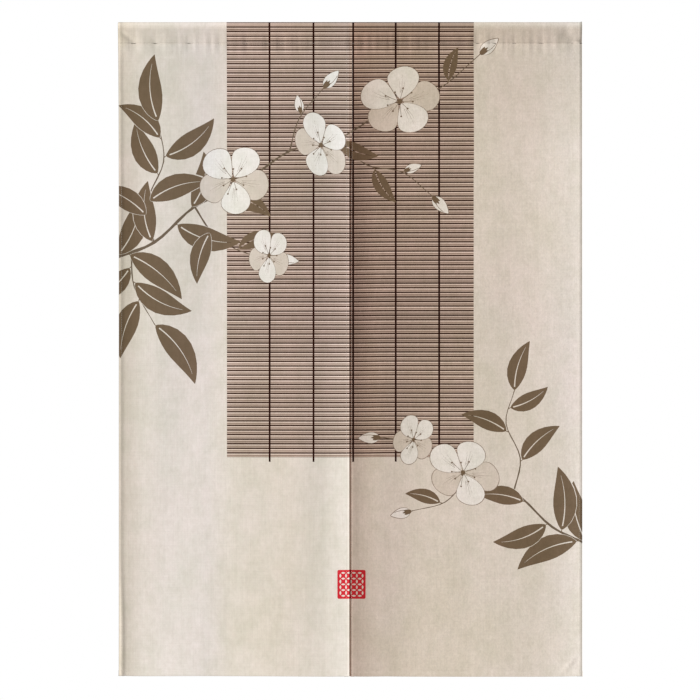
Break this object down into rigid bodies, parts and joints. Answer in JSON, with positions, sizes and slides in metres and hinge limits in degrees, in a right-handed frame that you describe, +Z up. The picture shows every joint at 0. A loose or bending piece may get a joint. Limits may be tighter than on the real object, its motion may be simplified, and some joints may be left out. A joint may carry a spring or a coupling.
{
  "type": "noren curtain",
  "caption": "Door curtain of printed cloth panels seamed at the top and slit below, with a rod pocket along the top edge.",
  "frame": {"origin": "middle of the top edge of the rod pocket, where the curtain hangs", "axes": "+X to the right seen from the front, front towards -Y, +Z up; the cloth hangs from Z = 0 down to Z = -1.2"},
  "size_m": [0.85, 0.0328, 1.2001],
  "materials": {
    "cloth": "matt plain-weave cotton and linen, printed on the front"
  },
  "bodies": {
    "root": {"pocket_left": "cloth", "pocket_right": "cloth", "panel_left": "cloth", "panel_right": "cloth"}
  },
  "joints": []
}
